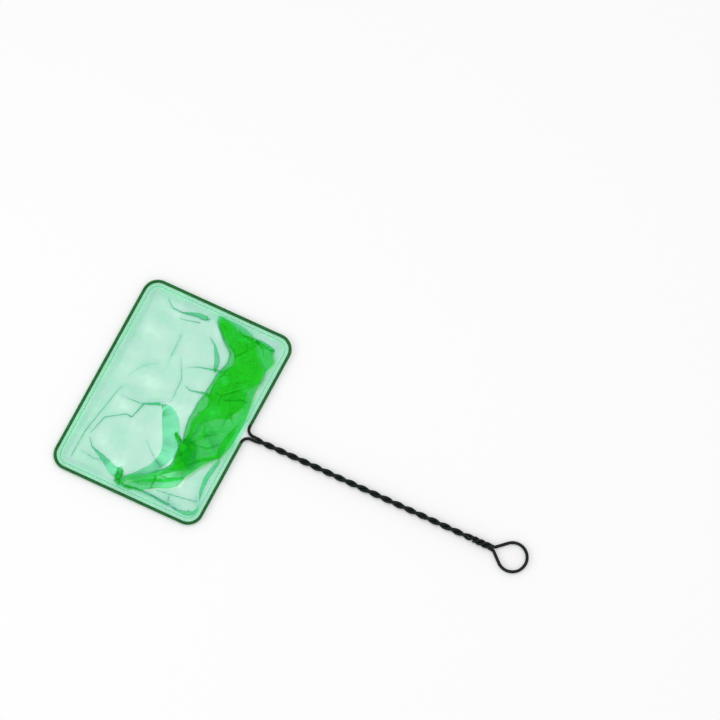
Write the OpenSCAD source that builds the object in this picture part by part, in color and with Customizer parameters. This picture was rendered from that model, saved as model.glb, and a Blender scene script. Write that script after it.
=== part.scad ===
// A fish net for aquariums, lying on a table with its mesh bag collapsed under the hoop.
// One coated wire makes the hoop, both strands of the twisted handle and the hanging ring.
// +X runs along the handle to the ring and +Z up from the table. The origin is under the
// middle of the whole net. Left and right are as the hand on the handle sees them, so +Y
// is right. Lengths are in millimetres and angles in degrees.

/* [Hoop] */
// Length of the hoop's far and near sides, between wire centres
hoop_length = 203; // [150:1:260]
// Depth of the hoop along the handle, between wire centres
hoop_depth = 152; // [110:1:200]
// Lean of the far and near sides from square to the handle
hoop_lean = 3.1; // [0:0.1:6]
// Bend radius of the hoop's corners, at the wire's centre
corner_bend = 14; // [12:0.5:24]
// Bend radius where the near side turns into the handle
root_bend = 7; // [5:0.5:12]

/* [Wire] */
// Diameter of the wire with its plastic coating
wire_diameter = 3; // [2.4:0.1:4]
// Diameter of the steel inside the coating
core_diameter = 2.2; // [1.4:0.1:2.2]

/* [Handle] */
// Length from the hoop's near side to the ring's centre
handle_length = 279; // [180:1:360]
// Length of straight wire between the root bend and the first turn
root_straight = 3; // [1:0.5:10]
// Wanted length of one full turn of the twisted pair
twist_pitch = 26; // [20:0.5:40]
// Length of the thick neck before the ring, where the wire's end is twisted in
neck_length = 20; // [14:0.5:30]
// Wanted length of one full turn in the neck
neck_pitch = 20; // [16:0.5:30]

/* [Ring] */
// Radius of the hanging ring, at the wire's centre
ring_radius = 14; // [10:0.5:20]
// Angle at which the ring's two legs spread from the handle
ring_spread = 42; // [30:1:50]
// Bend radius at the foot of each leg
ring_foot_bend = 4; // [3:0.25:5]

/* [Cloth] */
// Thickness of one layer of the mesh
cloth_thickness = 0.5; // [0.3:0.05:0.6]
// Width of the hem, from the wire's centre to its sewn edge
hem_width = 6.5; // [5:0.25:8]
// Width of the sloping wall between the hem and the flat of the bag
wall_width = 4; // [3:0.25:5]
// Length of one stitch of the hem
stitch_length = 2.8; // [1.5:0.1:3.2]
// Distance from one stitch to the next
stitch_pitch = 4; // [3.6:0.1:8]
// Diameter of the hem's thread
thread_diameter = 0.6; // [0.3:0.05:0.9]
// Diameter of the rolled seam between the bag's two panels
seam_diameter = 1.2; // [0.8:0.1:1.6]

/* [Hidden] */

// Clearance between wires that are twisted together
strand_gap = 0.3;
// Clearance between the steel and its coating
core_gap = 0.04;
// Clearance between cloth and what it lies against
cloth_gap = 0.15;
// Length over which the twist starts, and over which it stops
twist_ramp = 6;
// Length over which the pair opens to take the third wire
neck_opening = 6;
// How far the cut end of the left strand stands past the neck
cut_end_reach = 1;
// Distance of the hem's stitches from its sewn edge
stitch_inset = 1.6;
// Distance from the root bend to the end of the hem
hem_start = 2;
// Width of the turned edge where one layer of the bag folds onto the next
fold_edge = 1.2;
// Gap between the two panels, which the rolled seam covers
panel_gap = 0.3;
// Distance along the handle from the seam to the middle layer's turned edge
seam_margin = 3;
// Overrun of the shapes that part the bag into its panels
overrun = 1;

WIRE_SIDES = 12;
RING_STEPS = 24;
FOOT_STEPS = 4;
HEM_SIDES = 12;
STRAND_SIDES = 8;
STRAND_STEPS_PER_TURN = 10;
SEAM_SIDES = 8;
CORNER_STEPS = 6;

wire_color = "#15271f";
steel_color = "#b9bec2";
mesh_color = "#7fd9a6";
fold_color = "#3fc46a";
thread_color = "#1f9c55";

wire_r = wire_diameter / 2;
core_r = core_diameter / 2;
bore_r = core_r + core_gap;
sleeve_inner_r = wire_r + cloth_gap;
sleeve_outer_r = sleeve_inner_r + cloth_thickness;
thread_r = thread_diameter / 2;

// Two wires side by side are spaced so, and three in the neck lie at neck_r from its axis
wire_spacing = wire_diameter + strand_gap;
pair_r = wire_spacing / 2;
neck_r = wire_spacing / 2 / sin(60);

// The neck is the thickest part of the handle and touches the table
axis_z = neck_r + wire_r;
ring_z = axis_z - neck_r * sin(30);

half_side_y = hoop_length / 2 * cos(hoop_lean);
half_lean_x = hoop_length / 2 * sin(hoop_lean);
root_run = root_bend * tan((90 + hoop_lean) / 2) + pair_r * tan(hoop_lean);
twist_start = root_run + root_straight;

// The ring's legs are tangents from the neck to the ring
leg_run = (ring_radius * cos(ring_spread) - pair_r
    - ring_foot_bend * (1 - cos(ring_spread))) / sin(ring_spread);
ring_reach = (ring_foot_bend + ring_radius) * sin(ring_spread) + leg_run * cos(ring_spread);
neck_end = handle_length - ring_reach;
twist_length = neck_end - twist_start;
tail_start = twist_length - neck_length;

// The hoop's corners, with the middle of the near side at x = 0
near_right = [half_lean_x, half_side_y];
far_right = [half_lean_x - hoop_depth, half_side_y];
far_left = [-half_lean_x - hoop_depth, -half_side_y];
near_left = [-half_lean_x, -half_side_y];

hoop_path = [
    [twist_start, pair_r], [pair_r * tan(hoop_lean), pair_r],
    near_right, far_right, far_left, near_left,
    [-pair_r * tan(hoop_lean), -pair_r], [twist_start, -pair_r]
];
hoop_bends = [0, root_bend, corner_bend, corner_bend, corner_bend, corner_bend, root_bend, 0];

// Centres of the corner bends, and the middle of the net's whole length
function corner_centre(corner, toward) = corner + corner_bend / cos(hoop_lean) * toward;
side_dir = [sin(hoop_lean), cos(hoop_lean)];
centre_far_left = corner_centre(far_left, [1, 0] + side_dir);
centre_near_left = corner_centre(near_left, side_dir - [1, 0]);
centre_near_right = corner_centre(near_right, [-1, 0] - side_dir);
centre_far_right = corner_centre(far_right, [1, 0] - side_dir);
least_x = centre_far_left.x - corner_bend - sleeve_outer_r;
greatest_x = handle_length + ring_radius + wire_r;
middle_x = (least_x + greatest_x) / 2;

// Stretches and bends of the hoop's path

function heading(a, b) = atan2(b.y - a.y, b.x - a.x);
function unit(v) = v / norm(v);
function wrapped(angle) = angle > 180 ? angle - 360 : angle < -180 ? angle + 360 : angle;
function turn_at(i) = wrapped(
    heading(hoop_path[i], hoop_path[i + 1]) - heading(hoop_path[i - 1], hoop_path[i]));
function bend_run(i) = hoop_bends[i] == 0 ? 0 : hoop_bends[i] * tan(abs(turn_at(i)) / 2);
function leg_dir(i) = unit(hoop_path[i + 1] - hoop_path[i]);
function leg_from(i) = hoop_path[i] + bend_run(i) * leg_dir(i);
function leg_to(i) = hoop_path[i + 1] - bend_run(i + 1) * leg_dir(i);
function leg_length(i) = norm(leg_to(i) - leg_from(i));
function left_of(direction) = [-direction.y, direction.x];

// A station is a point of a path in plan, with the path's heading there
function leg_stations(i, from = 0, to = undef) =
    let (end = to == undef ? leg_length(i) : to, toward = heading(hoop_path[i], hoop_path[i + 1]))
    [for (run = [from, end]) let (p = leg_from(i) + run * leg_dir(i)) [p.x, p.y, toward]];
function bend_station(from, radius, turn) =
    let (side = sign(turn), toward = from[2] + turn)
    [from.x, from.y, 0] + side * radius * (sideways(from[2]) - sideways(toward)) + [0, 0, toward];
function sideways(toward) = [-sin(toward), cos(toward), 0];
function bend_stations(i) = let (from = leg_stations(i - 1)[1])
    [for (k = [1:CORNER_STEPS - 1])
        bend_station(from, hoop_bends[i], turn_at(i) * k / CORNER_STEPS)];

// A profile's first coordinate runs to the left of the path, which is into the hoop, and its
// second runs up
function round_profile(r, sides) = [
    for (k = [0:sides - 1]) let (a = 360 * (k + 0.5) / sides) r * [cos(a), sin(a)]
];
function swept_points(stations, profile, z) = [
    for (s = stations, q = profile)
        [s.x, s.y, z] + q.x * sideways(s[2]) + [0, 0, q.y]
];

// Walls between rings of points, and the ends that close a solid or a hollow sweep
function walls(rings, sides, first, outward) = [
    for (i = [0:rings - 2], k = [0:sides - 1])
        let (a = first + i * sides + k, b = first + i * sides + (k + 1) % sides)
        each outward ? [[a, a + sides, b], [b, a + sides, b + sides]]
            : [[a, b, a + sides], [b, b + sides, a + sides]]
];
function disc(sides, first, at_start) =
    [at_start ? [for (k = [0:sides - 1]) first + k] : [for (k = [sides - 1:-1:0]) first + k]];
function annulus(sides, outer, inner, at_start) = [
    for (k = [0:sides - 1]) let (n = (k + 1) % sides)
        each at_start ? [[outer + k, outer + n, inner + k], [outer + n, inner + n, inner + k]]
            : [[outer + k, inner + k, outer + n], [outer + n, inner + k, inner + n]]
];

module swept_rod(points, sides) {
    rings = len(points) / sides;
    polyhedron(points, concat(
        disc(sides, 0, true),
        walls(rings, sides, 0, true),
        disc(sides, (rings - 1) * sides, false)));
}

module swept_tube(outer, inner, sides) {
    rings = len(outer) / sides;
    last = (rings - 1) * sides;
    polyhedron(concat(outer, inner), concat(
        walls(rings, sides, 0, true),
        walls(rings, sides, len(outer), false),
        annulus(sides, 0, len(outer), true),
        annulus(sides, last, len(outer) + last, false)));
}

module coating_along(stations, z) {
    swept_tube(
        swept_points(stations, round_profile(wire_r, WIRE_SIDES), z),
        swept_points(stations, round_profile(bore_r, WIRE_SIDES), z), WIRE_SIDES);
}

module core_along(stations, z) {
    swept_rod(swept_points(stations, round_profile(core_r, WIRE_SIDES), z), WIRE_SIDES);
}

// Everything is drawn with the hoop's near side at x = 0 and then moved to the origin
module placed() {
    translate([-middle_x, 0, 0]) children();
}

// The wire of the hoop, in its sides. The two roots carry the near corners and the bends
// into the handle.

module hoop_far_side() {
    color(wire_color) placed()
        coating_along(concat(far_bend_right, leg_stations(3), far_bend_left), axis_z);
}

module hoop_left_side() {
    color(wire_color) placed() coating_along(leg_stations(4), axis_z);
}

module hoop_right_side() {
    color(wire_color) placed() coating_along(leg_stations(2), axis_z);
}

module hoop_root_right() {
    color(wire_color) placed() coating_along(concat(
        leg_stations(0), bend_stations(1), leg_stations(1), bend_stations(2),
        [leg_stations(2)[0]]), axis_z);
}

module hoop_root_left() {
    color(wire_color) placed() coating_along(concat(
        [leg_stations(4)[1]], bend_stations(5), leg_stations(5), bend_stations(6),
        leg_stations(6)), axis_z);
}

far_bend_right = concat([leg_stations(2)[1]], bend_stations(3));
far_bend_left = concat(bend_stations(4), [leg_stations(4)[0]]);

module hoop_core() {
    color(steel_color) placed() core_along(concat(
        [for (i = [0:5]) each concat(leg_stations(i), bend_stations(i + 1))],
        leg_stations(6)), axis_z);
}

// The twist. The right strand, the left strand and the tail go round the handle's axis
// with a left-hand lay. The pair opens from half a turn to a third of a turn at the neck.

function ramp_area(x, from, to) = x <= from ? 0
    : x < to ? pow(x - from, 2) / (to - from) / 2
    : (to - from) / 2 + x - to;
neck_rate = twist_pitch / neck_pitch;
function twist_area(x) = ramp_area(x, 0, twist_ramp)
    + (neck_rate - 1) * ramp_area(x, tail_start - neck_opening, tail_start)
    - neck_rate * ramp_area(x, twist_length - twist_ramp, twist_length);
twist_turns = round(twist_area(twist_length) / twist_pitch) + 1 / 12;
function twist_angle(x) = -360 * twist_turns * twist_area(x) / twist_area(twist_length);

function eased(share) = share <= 0 ? 0 : share >= 1 ? 1 : share * share * (3 - 2 * share);
function parting(x) = 180 - 60 * eased((x - tail_start) / neck_opening + 1);

RIGHT_STRAND = 0;
LEFT_STRAND = 1;
TAIL = 2;
function strand_angle(x, which) = twist_angle(min(x, twist_length))
    + (which == LEFT_STRAND ? parting(x) : which == TAIL ? -120 : 0);
function strand_r(x) = pair_r / sin(parting(x) / 2);
function strand_point(x, which) = [
    twist_start + x,
    strand_r(x) * cos(strand_angle(x, which)),
    axis_z + strand_r(x) * sin(strand_angle(x, which))
];

// One ring of points round a strand, square to its run
tangent_step = wire_r / 10;
function strand_tangent(x, which) = unit(
    strand_point(x + tangent_step, which) - strand_point(x - tangent_step, which));
function section(centre, tangent, r, sides) =
    let (side = unit([0, 1, 0] - tangent.y * tangent), up = cross(tangent, side))
    [for (k = [0:sides - 1]) let (a = 360 * (k + 0.5) / sides)
        centre + r * (cos(a) * side + sin(a) * up)];
function strand_sections(from, to, which, r) =
    let (steps = max(4, ceil((to - from) * STRAND_STEPS_PER_TURN / twist_pitch)))
    [for (i = [0:steps]) let (x = from + (to - from) * i / steps)
        each section(strand_point(x, which), square_end(x, from, to, which), r, STRAND_SIDES)];
function square_end(x, from, to, which) =
    x == from || x == to ? [1, 0, 0] : strand_tangent(x, which);

module strand_coating(from, to, which) {
    color(wire_color) placed() swept_tube(
        strand_sections(from, to, which, wire_r),
        strand_sections(from, to, which, bore_r), STRAND_SIDES);
}

module strand_core(from, to, which) {
    color(steel_color) placed()
        swept_rod(strand_sections(from, to, which, core_r), STRAND_SIDES);
}

left_reach = twist_length + cut_end_reach;
module handle_strand_right() { strand_coating(0, twist_length, RIGHT_STRAND); }
module handle_strand_right_core() { strand_core(0, twist_length, RIGHT_STRAND); }
module handle_strand_left() { strand_coating(0, left_reach, LEFT_STRAND); }
module handle_strand_left_core() { strand_core(0, left_reach, LEFT_STRAND); }
module neck_tail() { strand_coating(tail_start, twist_length, TAIL); }
module neck_tail_core() { strand_core(tail_start, twist_length, TAIL); }

// The hanging ring and its two legs, from the right leg's foot round to the left leg's foot

function run_station(from, run) =
    [from.x + run * cos(from[2]), from.y + run * sin(from[2]), from[2]];
function bend_run_stations(from, radius, turn, steps) =
    [for (k = [1:steps]) bend_station(from, radius, turn * k / steps)];
function last_of(list) = list[len(list) - 1];

right_foot = concat([[neck_end, pair_r, 0]],
    bend_run_stations([neck_end, pair_r, 0], ring_foot_bend, ring_spread, FOOT_STEPS));
right_leg_end = run_station(last_of(right_foot), leg_run);
ring_turn = bend_run_stations(right_leg_end, ring_radius, -180 - 2 * ring_spread, RING_STEPS);
left_leg_end = run_station(last_of(ring_turn), leg_run);
left_foot = bend_run_stations(left_leg_end, ring_foot_bend, ring_spread, FOOT_STEPS);
ring_stations = concat(right_foot, [right_leg_end], ring_turn, [left_leg_end], left_foot);

module hanging_ring() {
    color(wire_color) placed() coating_along(ring_stations, ring_z);
}

module hanging_ring_core() {
    color(steel_color) placed() core_along(ring_stations, ring_z);
}

// The hem, where the bag's edge is wrapped round the wire and sewn to itself. The outline's
// first and last points are the sewn edge of the flat part.

half_side = leg_length(2) / 2;
flat_angle = asin(cloth_thickness / sleeve_outer_r);
hem_angles = [
    for (k = [0:HEM_SIDES]) flat_angle + (360 - 2 * flat_angle) * k / HEM_SIDES
];
hem_outline = concat(
    [[hem_width, cloth_thickness]],
    [for (a = hem_angles) sleeve_outer_r * [cos(a), sin(a)]],
    [[hem_width, -cloth_thickness]]);
hem_bore = concat(
    [sleeve_inner_r * [cos(flat_angle / 3), sin(flat_angle / 3)]],
    [for (a = hem_angles) sleeve_inner_r * [cos(a), sin(a)]],
    [sleeve_inner_r * [cos(flat_angle / 3), -sin(flat_angle / 3)]]);

module hem_along(stations) {
    color(mesh_color) placed() swept_tube(
        swept_points(stations, hem_outline, axis_z),
        swept_points(stations, hem_bore, axis_z), len(hem_outline));
}

module hem_far() {
    hem_along(concat(
        leg_stations(2, half_side), bend_stations(3), leg_stations(3), bend_stations(4),
        leg_stations(4, 0, half_side)));
}

module hem_near_right() {
    hem_along(concat(leg_stations(1, hem_start), bend_stations(2), leg_stations(2, 0, half_side)));
}

module hem_near_left() {
    hem_along(concat(
        leg_stations(4, half_side), bend_stations(5),
        leg_stations(5, 0, leg_length(5) - hem_start)));
}

// A row of stitches along one stretch, centred on it
stitch_u = hem_width - stitch_inset;
module stitches(i, from, to) {
    run = to - from - stitch_length;
    count = floor(run / stitch_pitch);
    first = from + (to - from - count * stitch_pitch) / 2;
    direction = leg_dir(i);
    for (k = [0:count]) {
        middle = leg_from(i) + (first + k * stitch_pitch) * direction
            + stitch_u * left_of(direction);
        translate([middle.x, middle.y, axis_z + cloth_thickness + thread_r * cos(30)])
            rotate([0, 90, heading([0, 0], direction)])
                cylinder(r = thread_r, h = stitch_length, center = true, $fn = 6);
    }
}

module hem_stitching() {
    color(thread_color) placed() {
        stitches(1, hem_start, leg_length(1));
        for (i = [2:4]) stitches(i, 0, leg_length(i));
        stitches(5, 0, leg_length(5) - hem_start);
    }
}

// The bag. Its floor is a shallow tray under the hem, in two panels that a seam joins, and
// the near panel's spare cloth is folded over itself in two more layers.

function corner_arc(centre, from, to, inset) = [
    for (k = [0:CORNER_STEPS]) let (a = from + (to - from) * k / CORNER_STEPS)
        centre + (corner_bend - inset) * [cos(a), sin(a)]
];
function hoop_outline(inset) = concat(
    corner_arc(centre_far_left, 180 - hoop_lean, 270, inset),
    corner_arc(centre_near_left, 270, 360 - hoop_lean, inset),
    corner_arc(centre_near_right, -hoop_lean, 90, inset),
    corner_arc(centre_far_right, 90, 180 - hoop_lean, inset));
function at_height(outline, z) = [for (p = outline) [p.x, p.y, z]];

rim_top = axis_z - cloth_thickness - cloth_gap;
rim_inset = sleeve_outer_r + cloth_gap;
wall_inset = hem_width + cloth_thickness;
floor_inset = wall_inset + wall_width;

module tray() {
    loops = [
        [floor_inset, 0], [wall_inset, rim_top - cloth_thickness],
        [rim_inset, rim_top - cloth_thickness], [rim_inset, rim_top],
        [wall_inset + cloth_thickness / 2, rim_top],
        [floor_inset + cloth_thickness / 2, cloth_thickness]
    ];
    points = [for (loop = loops) each at_height(hoop_outline(loop[0]), loop[1])];
    sides = len(points) / len(loops);
    polyhedron(points, concat(
        disc(sides, 0, true),
        walls(len(loops), sides, 0, true),
        disc(sides, (len(loops) - 1) * sides, false)));
}

// A place in the hoop by two shares: from the far to the near side, and from left to right
function in_hoop(shares) = far_left + shares[0] * (near_left - far_left)
    + shares[1] * (far_right - far_left);
function all_in_hoop(table) = [for (shares = table) in_hoop(shares)];

// The seam's route. The middle layer follows it on its far side, and the tables give the
// middle layer's near side and the outline of the top layer.
seam_shares = [
    [0.5, 0.065], [0.47, 0.08], [0.60, 0.144], [0.71, 0.236], [0.66, 0.35], [0.65, 0.47],
    [0.66, 0.60], [0.63, 0.76], [0.55, 0.88], [0.5, 0.935]
];
middle_layer_near_shares = [
    [0.86, 0.91], [0.90, 0.70], [0.91, 0.48], [0.88, 0.30], [0.81, 0.14], [0.68, 0.085]
];
top_layer_far_shares = [
    [0.73, 0.255], [0.69, 0.36], [0.68, 0.47], [0.70, 0.60], [0.68, 0.74], [0.66, 0.87]
];
top_layer_near_shares = [
    [0.80, 0.87], [0.83, 0.70], [0.80, 0.50], [0.82, 0.36], [0.80, 0.25]
];

middle_layer_z = cloth_thickness + cloth_gap;
top_layer_z = middle_layer_z + cloth_thickness + cloth_gap;

// The floor of the bag on the seam's near side
module near_of_seam(gap) {
    line = all_in_hoop(seam_shares);
    reach = hoop_depth + overrun;
    shift = [gap, 0];
    translate([0, 0, -overrun]) linear_extrude(axis_z + overrun)
        polygon(concat(
            [[line[0].x, -hoop_length] + shift],
            [for (p = line) p + shift],
            [
                [line[len(line) - 1].x, hoop_length] + shift,
                [reach, hoop_length], [reach, -hoop_length]
            ]));
}

// One flat layer, and the turned edge that joins it to the layer under it
module layer(outline, z) {
    translate([0, 0, z]) linear_extrude(cloth_thickness) polygon(outline);
}

module turned_edge(line, width, z, height) {
    back = [for (k = [len(line) - 1:-1:0]) line[k] + [width, 0]];
    translate([0, 0, z]) linear_extrude(height) polygon(concat(line, back));
}

module bag_far_panel() {
    color(mesh_color) placed() difference() {
        tray();
        near_of_seam(0);
    }
}

module bag_near_panel() {
    middle_far = [for (p = all_in_hoop(seam_shares)) p + [seam_margin, 0]];
    middle_near = all_in_hoop(middle_layer_near_shares);
    top_far = all_in_hoop(top_layer_far_shares);
    top_near = all_in_hoop(top_layer_near_shares);
    color(fold_color) placed() union() {
        intersection() {
            tray();
            near_of_seam(panel_gap);
        }
        turned_edge(middle_far, fold_edge, cloth_thickness / 2, middle_layer_z);
        layer(concat(middle_far, middle_near), middle_layer_z);
        turned_edge(top_near, -fold_edge, middle_layer_z + cloth_thickness / 2,
            top_layer_z - middle_layer_z);
        layer(concat(top_far, top_near), top_layer_z);
    }
}

module bag_seam() {
    line = all_in_hoop(seam_shares);
    last = len(line) - 1;
    stations = [for (k = [0:last])
        [line[k].x, line[k].y, heading(line[max(k - 1, 0)], line[min(k + 1, last)])]];
    color(thread_color) placed() swept_rod(
        swept_points(stations, round_profile(seam_diameter / 2, SEAM_SIDES),
            middle_layer_z + seam_diameter / 2),
        SEAM_SIDES);
}

hoop_far_side();
hoop_left_side();
hoop_right_side();
hoop_root_left();
hoop_root_right();
hoop_core();
handle_strand_left();
handle_strand_left_core();
handle_strand_right();
handle_strand_right_core();
neck_tail();
neck_tail_core();
hanging_ring();
hanging_ring_core();
hem_far();
hem_near_left();
hem_near_right();
hem_stitching();
bag_far_panel();
bag_near_panel();
bag_seam();
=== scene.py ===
"""Looks of the aquarium fish net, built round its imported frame. Lengths are in metres."""

from math import asin, atan2, ceil, copysign, cos, pi, radians, sin, sqrt, tan

import bpy
import numpy as np
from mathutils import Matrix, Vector


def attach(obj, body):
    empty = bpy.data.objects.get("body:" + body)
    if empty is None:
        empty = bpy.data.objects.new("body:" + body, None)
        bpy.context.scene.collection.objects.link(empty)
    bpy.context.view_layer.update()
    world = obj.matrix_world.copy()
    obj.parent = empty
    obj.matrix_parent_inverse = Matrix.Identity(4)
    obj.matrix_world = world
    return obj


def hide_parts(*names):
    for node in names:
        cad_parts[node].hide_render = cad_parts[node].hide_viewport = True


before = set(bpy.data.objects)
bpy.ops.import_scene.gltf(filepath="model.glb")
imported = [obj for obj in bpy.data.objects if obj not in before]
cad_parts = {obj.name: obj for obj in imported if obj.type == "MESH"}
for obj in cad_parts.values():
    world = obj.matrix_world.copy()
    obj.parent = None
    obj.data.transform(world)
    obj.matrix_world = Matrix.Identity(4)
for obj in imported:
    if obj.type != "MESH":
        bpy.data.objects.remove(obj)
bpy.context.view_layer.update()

MM = 0.001

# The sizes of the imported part, with the hoop's near side at x = 0. Every mesh is then moved
# by SHIFT, which puts the part's middle over its origin.
HOOP_LENGTH = 203 * MM
HOOP_DEPTH = 152 * MM
HOOP_LEAN = radians(3.1)
CORNER_BEND = 14 * MM
ROOT_BEND = 7 * MM
WIRE_R = 1.5 * MM
CORE_R = 1.1 * MM
BORE_R = CORE_R + 0.04 * MM
HANDLE_LENGTH = 279 * MM
ROOT_STRAIGHT = 3 * MM
TWIST_PITCH = 26 * MM
NECK_LENGTH = 20 * MM
NECK_PITCH = 20 * MM
RING_RADIUS = 14 * MM
RING_SPREAD = radians(42)
RING_FOOT_BEND = 4 * MM
CLOTH_THICKNESS = 0.5 * MM
HEM_WIDTH = 6.5 * MM
STITCH_LENGTH = 2.8 * MM
STITCH_PITCH = 4 * MM
STITCH_INSET = 1.6 * MM
HEM_START = 2 * MM
THREAD_R = 0.3 * MM
SEAM_R = 0.6 * MM
TWIST_RAMP = 6 * MM
NECK_OPENING = 6 * MM
CUT_END_REACH = 1 * MM
WIRE_SPACING = 2 * WIRE_R + 0.3 * MM
TOUCHING_R = WIRE_R + 0.01 * MM
CLOTH_GAP = 0.15 * MM

PAIR_R = WIRE_SPACING / 2
NECK_R = PAIR_R / sin(radians(60))
AXIS_Z = NECK_R + WIRE_R
RING_Z = AXIS_Z - NECK_R * sin(radians(30))
SLEEVE_R = WIRE_R + CLOTH_GAP + CLOTH_THICKNESS

ROOT_RUN = ROOT_BEND * tan((pi / 2 + HOOP_LEAN) / 2) + PAIR_R * tan(HOOP_LEAN)
TWIST_START = ROOT_RUN + ROOT_STRAIGHT
LEG_RUN = (
    RING_RADIUS * cos(RING_SPREAD)
    - PAIR_R
    - RING_FOOT_BEND * (1 - cos(RING_SPREAD))
) / sin(RING_SPREAD)
RING_REACH = (RING_FOOT_BEND + RING_RADIUS) * sin(RING_SPREAD) + LEG_RUN * cos(RING_SPREAD)
NECK_END = HANDLE_LENGTH - RING_REACH
TWIST_LENGTH = NECK_END - TWIST_START
TAIL_START = TWIST_LENGTH - NECK_LENGTH
NECK_FROM = TAIL_START - NECK_OPENING

HALF_SIDE = np.array([HOOP_LENGTH / 2 * sin(HOOP_LEAN), HOOP_LENGTH / 2 * cos(HOOP_LEAN)])
DEPTH_RUN = np.array([HOOP_DEPTH, 0.0])
NEAR_RIGHT = HALF_SIDE
FAR_RIGHT = HALF_SIDE - DEPTH_RUN
FAR_LEFT = -HALF_SIDE - DEPTH_RUN
NEAR_LEFT = -HALF_SIDE

# The middle of the bend at the far left corner
FAR_BEND_X = FAR_LEFT[0] + CORNER_BEND / cos(HOOP_LEAN) * (1.0 + sin(HOOP_LEAN))
LEAST_X = FAR_BEND_X - CORNER_BEND - SLEEVE_R
GREATEST_X = HANDLE_LENGTH + RING_RADIUS + WIRE_R
SHIFT = np.array([-(LEAST_X + GREATEST_X) / 2, 0.0, 0.0])


# Meshes


def placed(name, data):
    """A new object in the scene."""
    made = bpy.data.objects.new(name, data)
    bpy.context.scene.collection.objects.link(made)
    return made


def mesh_object(name, points, faces, uv, values=None):
    """A mesh in the row frame from points of the wire's frame. uv has one pair a face corner,
    and values has, by name, one number a point."""
    mesh = bpy.data.meshes.new(name)
    mesh.from_pydata((np.asarray(points) + SHIFT).tolist(), [], faces)
    layer = mesh.uv_layers.new(name="cloth")
    layer.data.foreach_set("uv", np.asarray(uv, float).ravel())
    for value_name, amounts in (values or {}).items():
        attribute = mesh.attributes.new(value_name, "FLOAT", "POINT")
        attribute.data.foreach_set("value", np.asarray(amounts, np.float32).ravel())
    mesh.polygons.foreach_set("use_smooth", [True] * len(mesh.polygons))
    mesh.update()
    return placed(name, mesh)


def unit(v):
    return v / np.linalg.norm(v, axis=-1, keepdims=True)


def smooth_step(x, low, high):
    t = np.clip((x - low) / (high - low), 0, 1)
    return t * t * (3 - 2 * t)


def faded_ends(where, length, reach):
    """1 along a line, and less to 0 within a reach of its ends."""
    return smooth_step(where, 0, reach) * smooth_step(length - where, 0, reach)


def between(at, run, points):
    """Points of a path at given lengths, from the lengths at which it has its own."""
    return np.column_stack([np.interp(at, run, column) for column in points.T])


def ring_frames(tangents, first_side):
    """A side and an up direction at each tangent, turned as little as the path allows."""
    side = first_side - tangents[0] * (first_side @ tangents[0])
    sides = [unit(side)]
    for tangent in tangents[1:]:
        side = sides[-1] - tangent * (sides[-1] @ tangent)
        sides.append(unit(side))
    sides = np.array(sides)
    return sides, np.cross(tangents, sides)


def ring_points(path, tangents, radius, count):
    """Rings of points round a path, square to its tangents. radius is one value or one a ring."""
    sides, ups = ring_frames(tangents, np.array([0.0, 0.0, 1.0]))
    angle = (2 * pi * np.arange(count) / count)[:, None]
    circle = np.cos(angle) * sides[:, None] + np.sin(angle) * ups[:, None]
    radius = np.broadcast_to(radius, len(path))[:, None, None]
    return (path[:, None] + radius * circle).reshape(-1, 3)


# The corners of a cell of a grid in order, as steps of its row and its column
CELL = ((0, 0), (0, 1), (1, 1), (1, 0))


def cells(values, order=CELL):
    """The values at the four corners of each cell of a grid."""
    rows, columns = values.shape[0] - 1, values.shape[1] - 1
    corners = [values[r : r + rows, c : c + columns] for r, c in order]
    return np.stack(corners, -1).reshape(-1, 4)


def cell_uv(u, v, order=CELL):
    """uv in millimetres of those corners, from two lengths at each point of the grid."""
    pair = [cells(lengths, order) / MM for lengths in np.broadcast_arrays(u, v)]
    return np.stack(pair, -1).reshape(-1, 2).tolist()


def tube_walls(rings, count, first=0, order=CELL):
    """Faces between rings of points. They look away from the path, or in if reversed."""
    numbers = first + count * np.arange(rings)[:, None] + np.arange(count + 1) % count
    return cells(numbers, order).tolist()


def along(path):
    """How far each point of a path lies from its start."""
    steps = np.linalg.norm(np.diff(path, axis=0), axis=1)
    return np.concatenate([[0.0], np.cumsum(steps)])


def wall_uv(run, count, round_length):
    """Lengths along and round a tube for each corner of its walls."""
    return cell_uv(run[:, None], round_length * np.arange(count + 1) / count)


def rod(path, tangents, radius, count, first=0):
    """Points, faces and uv of a closed rod along a path, with points numbered from first."""
    points = ring_points(path, tangents, radius, count)
    last = first + (len(path) - 1) * count
    faces = tube_walls(len(path), count, first)
    faces.append(tuple(first + k for k in reversed(range(count))))
    faces.append(tuple(last + k for k in range(count)))
    uv = wall_uv(along(path), count, 2 * pi * float(np.max(radius)))
    return points, faces, uv + [(0.0, 0.0)] * (2 * count)


def hollow_tube(name, path, tangents, outer_r, inner_r, count):
    """A closed tube with a bore along a path."""
    outer = ring_points(path, tangents, outer_r, count)
    inner = ring_points(path, tangents, inner_r, count)
    start, last = len(outer), (len(path) - 1) * count
    faces = tube_walls(len(path), count) + tube_walls(len(path), count, start, CELL[::-1])
    uv = wall_uv(along(path), count, 2 * pi * outer_r) * 2
    for k in range(count):
        n = (k + 1) % count
        faces.append((n, k, start + k, start + n))
        faces.append((last + k, last + n, start + last + n, start + last + k))
        uv += [(0.0, 0.0)] * 8
    return mesh_object(name, np.concatenate([outer, inner]), faces, uv)


# The wire's centreline, from its cut tail in the neck round the ring, down the right strand,
# round the hoop and up the left strand to its other cut end. Each part is a pair of arrays,
# points and tangents.

ARC_STEP = radians(6)
STRAND_STEP = TWIST_PITCH / 30


def flat_dir(heading):
    return np.array([cos(heading), sin(heading)])


def left_of(direction):
    return np.array([-direction[1], direction[0]])


def lifted(points, z):
    points = np.asarray(points)
    return np.column_stack([points, np.full(len(points), z)])


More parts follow.
